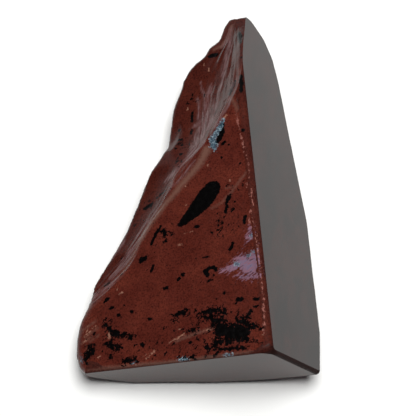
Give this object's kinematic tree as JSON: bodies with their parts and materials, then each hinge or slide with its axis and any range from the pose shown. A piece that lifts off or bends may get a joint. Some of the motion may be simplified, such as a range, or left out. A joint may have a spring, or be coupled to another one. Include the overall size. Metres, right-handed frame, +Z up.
{
  "type": "polished mahogany obsidian",
  "caption": "Wedge of red-brown and black volcanic glass with a broad natural front, a shell-shaped broken flank and a polished flat side and base, lying on its back as a display stone",
  "frame": {"origin": "bottom centre of the bounding box, on the surface that the stone lies on", "axes": "+Z up, out of the broad front face; -Y out of the sawn base; +Y towards the tip; +X towards the sawn side"},
  "size_m": [0.1008, 0.1624, 0.0383],
  "materials": {
    "mahogany_obsidian": "polished on the sawn side and base, glassy fracture elsewhere"
  },
  "bodies": {
    "root": {"obsidian_stone": "mahogany_obsidian"}
  },
  "joints": []
}
